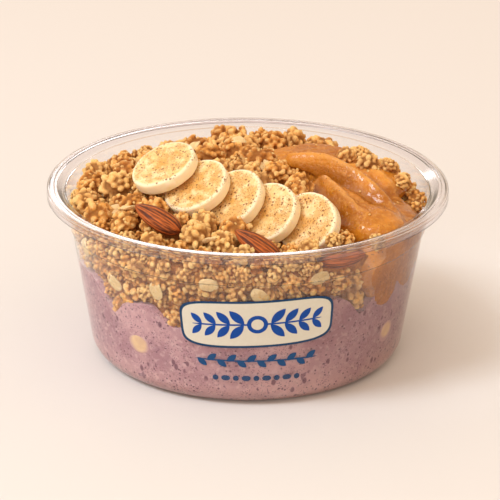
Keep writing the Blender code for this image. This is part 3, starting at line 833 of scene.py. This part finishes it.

# %% [markdown]
# ## Granola
# Baked oats stick together in knobbly clusters about a centimetre across. Six large and three small clusters
# are modelled: knobs are set round a core, remeshed to one skin and roughened. Everything else is copies of
# them, turned, sized and packed over an inner heap, which closes the gaps between them and is coloured dark as
# painted shade.


# %% Model clusters
GOLDEN_TURN = 2.39996


def model_cluster(name, knobs, knob_size, seed, triangles):
    """A cluster about one unit in radius. Every point keeps how far out it lies as its attribute "rise"."""
    draw = random.Random(seed)
    deselect_all()
    bpy.ops.mesh.primitive_ico_sphere_add(subdivisions=2, radius=0.74)
    pieces = [bpy.context.object]
    stretch = [draw.uniform(0.82, 1.12) for _ in range(3)]
    for k in range(knobs):
        height = 1.0 - 2.0 * (k + 0.5) / knobs
        angle = k * GOLDEN_TURN + draw.uniform(-0.3, 0.3)
        flat = math.sqrt(1.0 - height * height)
        reach = draw.choice((0.72, 0.76, 0.8, 0.85)) + draw.uniform(-0.03, 0.03)
        way = (flat * math.cos(angle), flat * math.sin(angle), height)
        spot = [reach * part * wide for part, wide in zip(way, stretch)]
        deselect_all()
        turn = [draw.uniform(0.0, 3.1) for _ in range(3)]
        bpy.ops.mesh.primitive_ico_sphere_add(subdivisions=2, radius=1.0, location=spot, rotation=turn)
        knob = bpy.context.object
        knob.scale = [knob_size * draw.uniform(0.75, 1.2) * flatten for flatten in (1.08, 0.98, 0.84)]
        pieces.append(knob)
    choose(*pieces)
    bpy.ops.object.transform_apply()
    cluster = join(pieces, name)
    apply(cluster, "REMESH", mode="VOXEL", voxel_size=0.055 if triangles > 1000 else 0.09)
    for vertex in cluster.data.vertices:
        rough = noise.noise(vertex.co * 6.5 + Vector((seed, 0.0, 0.0))) * 0.04
        rough += noise.noise(vertex.co * 13.0 + Vector((0.0, seed, 0.0))) * 0.05
        vertex.co *= 1.0 + rough
    apply(cluster, "DECIMATE", ratio=min(1.0, triangles / (2.0 * len(cluster.data.polygons))))
    # How far out each point lies; the finish turns it into painted shade in the cracks and a painted highlight on the
    # knobs
    reach = [vertex.co.length for vertex in cluster.data.vertices]
    low, high = np.percentile(reach, 4), np.percentile(reach, 97)
    rise = cluster.data.attributes.new("rise", "FLOAT", "POINT")
    rise.data.foreach_set("value", np.clip((np.array(reach) - low) / (high - low), 0.0, 1.0).astype(np.float32))
    return cluster


BIG = ((38, 0.245), (46, 0.22), (34, 0.26), (42, 0.23), (52, 0.205), (36, 0.25))
SMALL = ((12, 0.42), (16, 0.36), (10, 0.45))
kinds = [model_cluster(f"cluster_{s}", *knobs, s, 2300) for s, knobs in enumerate(BIG, 1)]
kinds += [model_cluster(f"cluster_{s}", *knobs, s, 520) for s, knobs in enumerate(SMALL, 11)]
print("cluster faces:", [len(kind.data.polygons) for kind in kinds])


# %% Copies joined to one piece
CLUSTER_INTO_WALL = 0.12


def points_and_faces(obj):
    obj.data.calc_loop_triangles()
    points = np.empty(len(obj.data.vertices) * 3)
    obj.data.vertices.foreach_get("co", points)
    faces = np.empty(len(obj.data.loop_triangles) * 3, dtype=np.int64)
    obj.data.loop_triangles.foreach_get("vertices", faces)
    return points.reshape(-1, 3), faces.reshape(-1, 3)


def copies(name, models, places, hold=True):
    """Joins copies of model pieces: places holds (kind, centre, size, turn as a 3 x 3 matrix, tone)."""
    forms = [points_and_faces(model) for model in models]
    rises = []
    for model in models:
        rise = np.ones(len(model.data.vertices), dtype=np.float32)
        if "rise" in model.data.attributes:
            model.data.attributes["rise"].data.foreach_get("value", rise)
        rises.append(rise)
    points, faces, tones, all_rises = [], [], [], []
    count = 0
    for kind, centre, size, turn, tone in places:
        own, tris = forms[kind]
        moved = own * np.array(size) @ np.array(turn).T + np.array(centre)
        if hold:
            flat = np.hypot(moved[:, 0], moved[:, 1])
            limit = np.array([wall_radius(z) for z in moved[:, 2]]) + CLUSTER_INTO_WALL
            over = flat > limit
            moved[over, :2] *= (limit[over] / flat[over])[:, None]
        points.append(moved * MM)
        faces.append(tris + count)
        tones.append(np.full(len(own), tone))
        all_rises.append(rises[kind])
        count += len(own)
    mesh = bpy.data.meshes.new(name)
    mesh.from_pydata(np.concatenate(points).tolist(), [], np.concatenate(faces).tolist())
    for layer_name, values in (("tone", tones), ("rise", all_rises)):
        layer = mesh.attributes.new(layer_name, "FLOAT", "POINT")
        layer.data.foreach_set("value", np.concatenate(values).astype(np.float32))
    obj = bpy.data.objects.new(name, mesh)
    bpy.context.scene.collection.objects.link(obj)
    smooth(obj)
    print(name, "joins", len(places), "copies and has", len(mesh.polygons), "faces")
    return obj


def any_turn(draw):
    axis = Vector((draw.gauss(0, 1), draw.gauss(0, 1), draw.gauss(0, 1))).normalized()
    return Matrix.Rotation(draw.uniform(0.0, 6.283), 3, axis)


# %% [markdown]
# A cluster may only go where nothing else lies. The room it has is worked out from the slices and almonds as
# simple solids and from the nearest point of the nut butter's skin.

# %% Room for a cluster
# Nothing inside the nut butter is further from its skin than this
BUTTER_DEPTH = 12.0
# An almond is taken as a capsule: half its straight part and its radius, as shares of its length and height
ALMOND_RUN, ALMOND_ROUND = 0.32, 0.62
work = points_and_faces(butter)
butter_tree = BVHTree.FromPolygons([Vector(p) / MM for p in work[0].tolist()], work[1].tolist())


def in_butter(spot):
    """Distance to the nut butter's skin; negative inside."""
    hit, normal, _face, distance = butter_tree.find_nearest(spot)
    return distance if distance > BUTTER_DEPTH or (spot - hit).dot(normal) > 0.0 else -distance


def room(spot):
    """Distance from a point to the nearest topping; negative inside one."""
    least = in_butter(spot)
    for x, y, z, tilt, turn, spin, across, along in SLICES:
        normal = slice_axes(tilt, turn, spin)[2]
        offset = spot - Vector((x, y, z))
        high = abs(offset.dot(normal)) - SLICE_T / 2.0
        wide = (offset - normal * offset.dot(normal)).length - max(across, along)
        gap = max(high, wide) if min(high, wide) < 0.0 else math.hypot(high, wide)
        least = min(least, gap)
    for centre, direction in ALMONDS:
        axis = Vector(direction).normalized()
        offset = spot - Vector(centre)
        run = max(-ALMOND_L * ALMOND_RUN, min(ALMOND_L * ALMOND_RUN, offset.dot(axis)))
        least = min(least, (offset - axis * run).length - ALMOND_T * ALMOND_ROUND)
    return least


print("room over the middle:", round(room(Vector((0.0, 10.0, 90.0))), 1))

# %% Heap of clusters
draw = random.Random(11)
heap_places = []
taken = []


def put_cluster(spot, radius, slack=0.3, crowd=0.86, tone=None):
    spot = Vector(spot)
    if room(spot) < radius * (1.0 - slack):
        return False
    for other, other_radius in taken:
        if (spot - other).length < crowd * (radius + other_radius):
            return False
    taken.append((spot, radius))
    kind = draw.randrange(len(BIG)) if radius > 3.4 else len(BIG) + draw.randrange(len(SMALL))
    size = [radius * 1.06 * draw.uniform(0.88, 1.1) for _ in range(3)]
    heap_places.append((kind, spot, size, any_turn(draw), draw.random() if tone is None else tone))
    return True


# Clusters that stand proud of the heap: X, Y, Z and radius
PROUD = (
    (0.5, -8.0, 85.0, 5.4), (-11.0, -66.0, 73.5, 6.4), (-22.5, -61.0, 75.5, 6.8), (26.0, -66.5, 71.5, 5.8),
    (37.0, -62.5, 75.0, 4.0), (55.5, -56.0, 72.0, 3.8),
)
# They take a pale tone as painted light, because they stand in the full light
for x, y, z, radius in PROUD:
    put_cluster((x, y, z), radius, slack=0.6, tone=0.9)
# Radius, tries, how near two may come and lift over the heap's height
ON_TOP = (
    (6.8, 600, 0.95, 0.8), (5.8, 1100, 0.94, 0.4), (4.6, 1300, 0.88, -1.2), (3.3, 1300, 0.82, -2.6),
    (2.4, 900, 0.82, -3.2),
)
for radius, tries, crowd, lift in ON_TOP:
    for _ in range(tries):
        reach = math.sqrt(draw.random()) * (wall_radius(EDGE_Z) - radius * 0.9)
        angle = draw.uniform(0.0, 2.0 * math.pi)
        x, y = reach * math.cos(angle), reach * math.sin(angle)
        z = heap_height(x, y) + lift + draw.uniform(-1.2, 1.6)
        put_cluster((x, y, z), radius * draw.uniform(0.9, 1.1), crowd=crowd)
top_count = len(heap_places)
# Radius, tries, how near two may come and distance back from the wall
AT_WALL = (
    (6.2, 1500, 0.9, 0.0), (5.2, 1800, 0.88, 0.0), (4.2, 2400, 0.8, 0.5), (3.2, 2400, 0.74, 1.6),
    (2.3, 1500, 0.74, 2.4),
)
for radius, tries, crowd, back in AT_WALL:
    for _ in range(tries):
        phi = draw.uniform(-math.pi, math.pi)
        low = level_at_wall(phi) + radius * 0.45
        z = draw.uniform(low, EDGE_Z + 1.5)
        size = radius * draw.uniform(0.9, 1.1)
        spot = on_wall(phi, z, -size * draw.uniform(0.9, 0.99) - back)
        put_cluster(spot, size, crowd=crowd, tone=draw.uniform(0.4, 1.0))
print("clusters on top:", top_count, "and at the wall:", len(heap_places) - top_count)
heap_places.sort(key=lambda place: math.atan2(place[1].y, place[1].x))
SHARES = 6
heaps = []
for k in range(SHARES):
    some = heap_places[k * len(heap_places) // SHARES:(k + 1) * len(heap_places) // SHARES]
    heaps.append(copies(f"granola_clusters_{k + 1}", kinds, some))

# %% [markdown]
# Under the clusters lies an inner heap. It only shows between them, so it is a turned body set back from the
# wall, roughened, and coloured darker than the granola as painted shade.


# %% Inner heap
# How far it stays behind the wall and under the heap's height
INSET, INNER_BELOW = 4.6, 5.6


def inner_rule(p):
    flat = math.hypot(p.x, p.y)
    phi = math.atan2(p.x, -p.y)
    z = p.z
    if z > 60.0 and flat < 69.0:
        z = heap_height(p.x, p.y) - INNER_BELOW
    if z < LEVEL + 0.5:
        z = min(z, level_at_wall(phi) - 0.6) if flat > 60.0 else z - 3.0
    rough = 1.3 * noise.noise(p * 0.16) + 0.6 * noise.noise(p * 0.4)
    scale = 1.0 + rough / max(flat, 30.0)
    return p.x * scale, p.y * scale, z + rough


stations = [(30.0, LEVEL), (62.0, LEVEL), (wall_radius(LEVEL) - INSET, LEVEL)]
stations += [(wall_radius(z) - INSET, z) for z in (50.0, 54.0, 58.0, 62.0, 65.0)]
stations += [(68.5, 68.0), (64.0, 69.0)] + [(56.0 - 8.0 * k, 70.0 + k) for k in range(7)]
inner = turn_up("granola_inner_heap", stations, 96)
shape(inner, inner_rule)
smooth(inner)

# %% [markdown]
# Toasted oats go from pale straw to dark honey; painted shade darkens their cracks and a painted highlight
# lightens their bumps. Each cluster has its own tone, so that they don't look like copies, and fine relief makes the
# crumb.


# %% Granola finish
def oat_bench(name, dark, middle, light, use_tone=True):
    work = Bench(name, middle)
    crumb = work.noise(900.0, 4.0, 0.7)
    patch = work.noise(240.0, 3.0, 0.6)
    tone = work.mix(patch.step(0.32, 0.62), dark, middle)
    tone = work.mix(crumb.step(0.48, 0.7) * 0.7, tone, light)
    if use_tone:
        own = work.attribute("tone")
        tone = work.mix(own.step(0.5, 1.0) * 0.45, tone, light)
        tone = work.mix((1.0 - own).step(0.62, 1.0) * 0.55, tone, dark)
        # Painted shade in the cracks between knobs and a painted highlight on their tops, from how far out each point
        # lies
        rise = work.attribute("rise")
        tone = work.mix((1.0 - rise).step(0.35, 0.95) * 0.8, tone, tuple(0.55 * c for c in dark))
        tone = work.mix(rise.step(0.5, 1.0) * 0.62, tone, light)
    pits = work.dots(900.0, 0.1, 0.26) * patch.step(0.45, 0.6)
    tone = work.mix(pits * 0.55, tone, (0.2, 0.075, 0.02))
    work.set(base_color=tone, roughness=crumb.step(0.3, 0.7, 0.6, 0.85), specular_ior_level=0.3)
    work.set(subsurface_weight=0.1, subsurface_scale=0.002, subsurface_radius=(1.0, 0.6, 0.3))
    work.bump(crumb + patch * 0.6, 0.8, 0.9)
    return work


oats = oat_bench("granola", (0.45, 0.13, 0.014), (0.88, 0.38, 0.075), (1.0, 0.7, 0.29))
# The inner heap's finish is darker than the granola, as painted shade between the clusters
painted_shade_oats = oat_bench("granola_shade", (0.3, 0.085, 0.013), (0.52, 0.19, 0.036), (0.7, 0.31, 0.07), False)
dress(inner, painted_shade_oats, "granola", "granola_heap")
for heap in heaps:
    dress(heap, oats, "granola")

# %% Loose clusters on and beside the nut butter
for index in range(1, 8):
    low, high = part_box(f"granola_cluster_{index}")
    middle = (low + high) / 2.0 / MM
    size = [max(high - low) / MM / 2.0 * 1.12] * 3
    place = (index % len(BIG), middle, size, any_turn(draw), 0.5 if index < 3 else 0.85)
    one = copies(f"loose_cluster_{index}", kinds, [place], hold=False)
    dress(one, oats, "granola", f"granola_cluster_{index}")

# %% [markdown]
# Rolled oats lie flat among the clusters: thin ovals with a crease down the middle. Crumbs are what has
# broken off, and they gather in the gaps and on the sticky places.

# %% Oat flakes and crumbs
deselect_all()
bpy.ops.mesh.primitive_uv_sphere_add(segments=20, ring_count=12, radius=1.0)
flake = bpy.context.object
flake.name = "oat_model"


def flake_rule(p):
    p = p * MM
    crease = 0.2 * math.exp(-((p.x / 0.12) ** 2)) * (1.0 if p.z > 0 else 0.0)
    curl = 0.25 * (p.x ** 2) - 0.1 * p.y ** 2
    ragged = 1.0 + 0.1 * noise.noise(Vector((p.x * 2.6, p.y * 2.6, 4.0)))
    return Vector((p.x * 0.78 * ragged, p.y * 1.1 * ragged, p.z * 0.26 + curl - crease)) / MM


shape(flake, flake_rule)
deselect_all()
bpy.ops.mesh.primitive_ico_sphere_add(subdivisions=1, radius=1.0)
crumb = bpy.context.object
crumb.name = "crumb_model"
for vertex in crumb.data.vertices:
    vertex.co *= 1.0 + 0.35 * noise.noise(vertex.co * 2.3)

offset, all_points, all_tris = 0, [], []
for obj in heaps + [butter, inner]:
    own, tris = points_and_faces(obj)
    all_points.append(own / MM)
    all_tris.append(tris + offset)
    offset += len(own)
ground = BVHTree.FromPolygons(np.concatenate(all_points).tolist(), np.concatenate(all_tris).tolist())


def land(x, y):
    """Where something lands that falls on the food: the point and the surface's normal."""
    return ground.ray_cast(Vector((x, y, ABOVE_ALL)), Vector((0.0, 0.0, -1.0)))[:2]


ABOVE_ALL, FLAKES_WITHIN, CRUMBS_WITHIN = 130.0, 72.0, 75.0
flake_places = []
# Flakes that the photo shows
OATS = ((-51.5, -37.5), (-15.5, -68.0), (49.0, -58.5), (-57.0, -28.0), (-30.0, 34.0), (2.0, 48.0), (-66.0, 2.0))
for x, y in list(OATS) + [(draw.uniform(-72, 40), draw.uniform(-70, 70)) for _ in range(12)]:
    hit, normal = land(x, y)
    if hit is None or math.hypot(x, y) > FLAKES_WITHIN or room(hit) < 0.6:
        continue
    lean = (normal + Vector((0.0, 0.0, 1.2))).normalized()
    turn = lean.to_track_quat("Z", "Y").to_matrix() @ Matrix.Rotation(draw.uniform(0, 6.28), 3, "Z")
    size = draw.uniform(3.2, 4.3)
    flake_places.append((0, hit + lean * 0.6, [size] * 3, turn, draw.uniform(0.7, 1.0)))
for phi_deg, z in ((-30.0, 53.0), (-64.0, 60.0), (4.0, 55.0), (23.0, 62.0), (-48.0, 50.0), (-12.0, 60.0)):
    phi = math.radians(phi_deg)
    outward = Vector((math.sin(phi), -math.cos(phi), 0.0))
    turn = outward.to_track_quat("Z", "Y").to_matrix() @ Matrix.Rotation(draw.uniform(0, 6.28), 3, "Z")
    flake_places.append((0, on_wall(phi, z, -0.3), [4.0] * 3, turn, 0.95))
flakes = copies("oat_flakes", [flake], flake_places)

crumb_places = []
for _ in range(900):
    x, y = draw.uniform(-76, 76), draw.uniform(-76, 76)
    if math.hypot(x, y) > CRUMBS_WITHIN:
        continue
    hit = land(x, y)[0]
    if hit is None or -0.5 < room(hit) < 0.2 and draw.random() < 0.9:
        continue
    size = [draw.uniform(0.35, 1.1) for _ in range(3)]
    crumb_places.append((0, hit, size, any_turn(draw), draw.uniform(0.3, 1.0)))
crumbs = copies("granola_crumbs", [crumb], crumb_places)
for model in kinds + [flake, crumb]:
    bpy.data.objects.remove(model, do_unlink=True)

pale_oats = oat_bench("rolled_oats", (0.55, 0.25, 0.075), (0.82, 0.5, 0.2), (0.92, 0.68, 0.36))
dress(flakes, pale_oats, "granola")
dress(crumbs, oats, "granola")

# %% [markdown]
# ## Print on the bowl
# The front of the bowl carries a print in blue and cream: a plain rounded field with a leafy sprig, and two
# small rows of leaves and dots under it. Ink is a very thin layer, so each shape is a fine grid that is given
# its outline, wrapped round the sloping wall and made a twentieth of a millimetre thick.

# %% Ink shapes
PRINT_PHI = math.radians(3.5)


def ink_shape(middle, half, turn_deg, power, point, lift, detail=(24, 12)):
    """A grid wrapped on the wall: middle and half are along the wall and up it, in millimetres."""
    deselect_all()
    bpy.ops.mesh.primitive_grid_add(x_subdivisions=detail[0], y_subdivisions=detail[1], size=2.0 * MM)
    obj = bpy.context.object
    turn = math.radians(turn_deg)

    def rule(p):
        u, v = p.x, p.y
        most = max(abs(u), abs(v))
        if most > 0.0:
            share = most / (abs(u) ** power + abs(v) ** power) ** (1.0 / power)
            u, v = u * share, v * share
        if point:
            v *= max(1.0 - u * u, 0.0) ** point
        x, y = u * half[0], v * half[1]
        along = middle[0] + x * math.cos(turn) - y * math.sin(turn)
        z = middle[1] + x * math.sin(turn) + y * math.cos(turn)
        return on_wall(PRINT_PHI + along / (wall_radius(30.0) + SHEET), z, SHEET + lift)

    shape(obj, rule)
    return obj


def ink(name, shapes, bench):
    layer = join(shapes, name)
    choose(layer)
    bpy.ops.object.transform_apply()
    face_out(layer)
    toward = layer.data.polygons[0]
    if toward.normal.dot(Vector((toward.center.x, toward.center.y, 0.0))) < 0.0:
        bpy.ops.object.mode_set(mode="EDIT")
        bpy.ops.mesh.select_all(action="SELECT")
        bpy.ops.mesh.flip_normals()
        bpy.ops.object.mode_set(mode="OBJECT")
    apply(layer, "SOLIDIFY", thickness=0.05 * MM, offset=1.0)
    layer.data.materials.clear()
    layer.data.materials.append(bench.material)
    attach(layer, "root")
    print("ink layer", name, len(layer.data.polygons), "faces")


def ink_bench(name, rgb, thin):
    work = Bench(name, rgb)
    tone = work.mix(work.noise(700.0, 3.0).step(0.4, 0.75) * 0.35, rgb, thin)
    work.set(base_color=tone, roughness=0.4, specular_ior_level=0.2)
    return work


navy = ink_bench("ink_navy", (0.008, 0.045, 0.12), (0.02, 0.08, 0.18))
teal = ink_bench("ink_teal", (0.01, 0.065, 0.19), (0.02, 0.09, 0.24))
blue = ink_bench("ink_blue", (0.002, 0.055, 0.31), (0.006, 0.08, 0.38))
cream = ink_bench("ink_cream", (0.66, 0.62, 0.52), (0.72, 0.68, 0.6))

# %% Field, leaves and rows
FIELD, SPRIG_ROW, DOT_ROW = (0.0, 41.5), 23.0, 14.2
ink("print_outline", [ink_shape(FIELD, (33.0, 11.6), 2.0, 5.0, 0.0, 0.03, (64, 24))], navy)
ink("print_field", [ink_shape(FIELD, (31.9, 10.5), 2.0, 5.0, 0.0, 0.09, (64, 24))], cream)
sprig = [ink_shape(FIELD, (27.5, 0.4), 2.0, 6.0, 0.0, 0.15, (60, 3))]
sprig.append(ink_shape(FIELD, (4.4, 4.4), 0.0, 2.0, 0.0, 0.15, (24, 24)))
for side in (-1.0, 1.0):
    for k in range(4):
        x = side * (8.6 + 5.7 * k)
        for up in (-1.0, 1.0):
            middle = (x, FIELD[1] + x * 0.035 + up * (3.6 - 0.3 * k))
            sprig.append(ink_shape(middle, (4.5 - 0.4 * k, 1.9 - 0.15 * k), 2.0 + side * up * 48.0, 2.0, 0.45, 0.15))
ink("print_sprig", sprig, blue)
ink("print_berry", [ink_shape(FIELD, (2.6, 2.6), 0.0, 2.0, 0.0, 0.21, (16, 16))], cream)
rows = []
for k in range(12):
    side = 1.0 if k % 2 else -1.0
    middle = (-24.2 + 4.4 * k, SPRIG_ROW + 1.35 * side)
    rows.append(ink_shape(middle, (2.7, 1.4), 40.0 * side, 2.0, 0.4, 0.03, (12, 8)))
rows.append(ink_shape((0.0, SPRIG_ROW), (27.5, 0.34), 0.0, 8.0, 0.0, 0.03, (60, 2)))
for k in range(9):
    wide = 2.0 if k % 2 else 1.3
    rows.append(ink_shape((-18.4 + 4.6 * k, DOT_ROW), (wide, 1.3), 0.0, 2.2, 0.0, 0.03, (12, 10)))
ink("print_rows", rows, teal)

# %% [markdown]
# ## Floor, light and camera
# The bowl stands on a seamless warm cream surface. A large soft lamp high on the left makes the soft shadow
# on the right, weaker ones fill the front and light the rim from behind, and the sky is an even warm white.
# The camera looks down at about 22 degrees through a long lens.

# %% Floor
scene = bpy.context.scene
deselect_all()
bpy.ops.mesh.primitive_plane_add(size=14.0, location=(0.0, 2.0, 0.0))
floor = bpy.context.object
floor.name = "floor"
paper = Bench("floor_paper", (0.725, 0.685, 0.668))
sheet_tone = paper.mix(paper.noise(1.3, 2.0).step(0.3, 0.7), (0.721, 0.681, 0.664), (0.731, 0.691, 0.675))
paper.set(base_color=sheet_tone, roughness=0.9, specular_ior_level=0.1)
floor.data.materials.append(paper.material)


# %% Lamps and sky
def soft_lamp(name, place, aim, size, power, rgb):
    lamp = bpy.data.lights.new(name, "AREA")
    lamp.shape = "RECTANGLE"
    lamp.size, lamp.size_y = size
    lamp.energy = power
    lamp.color = rgb
    holder = bpy.data.objects.new(name, lamp)
    scene.collection.objects.link(holder)
    holder.location = place
    holder.rotation_euler = (Vector(aim) - Vector(place)).to_track_quat("-Z", "Y").to_euler()


soft_lamp("key_lamp", (-1.3, -0.72, 1.95), (0.0, 0.0, 0.04), (0.75, 0.75), 35.0, (0.8, 0.91, 1.0))
soft_lamp("rim_lamp", (-0.35, 2.4, 1.1), (0.0, 0.0, 0.07), (0.9, 0.25), 3.0, (0.95, 0.94, 1.0))
soft_lamp("front_lamp", (-0.4, -2.0, 1.2), (0.0, 0.0, 0.04), (1.2, 0.8), 7.0, (1.0, 0.99, 0.98))
sky = bpy.data.worlds.new("studio")
sky.use_nodes = True
sky.node_tree.nodes["Background"].inputs["Color"].default_value = (1.0, 0.8, 0.6, 1.0)
sky.node_tree.nodes["Background"].inputs["Strength"].default_value = 0.98
scene.world = sky
scene.view_settings.view_transform = "Standard"
scene.view_settings.look = "None"

# %% Camera
AWAY, RISE, ROLL = 1.2, math.radians(21.84), math.radians(0.43)
AIM = Vector((0.00121, 0.0, 0.04517))
FOCUS_PX, PHOTO_PX, SENSOR = 2649.1, 500.0, 36.0
lens = bpy.data.cameras.new("camera")
lens.lens = FOCUS_PX / PHOTO_PX * SENSOR
lens.sensor_width = SENSOR
lens.clip_end = 50.0
camera = bpy.data.objects.new("camera", lens)
scene.collection.objects.link(camera)
stand = Matrix.Translation(AIM + Vector((0.0, -math.cos(RISE), math.sin(RISE))) * AWAY)
camera.matrix_world = stand @ Matrix.Rotation(math.pi / 2.0 - RISE, 4, "X") @ Matrix.Rotation(ROLL, 4, "Z")
scene.camera = camera
print("camera at", [round(c, 3) for c in camera.location])

# %% Leave nothing selected
deselect_all()
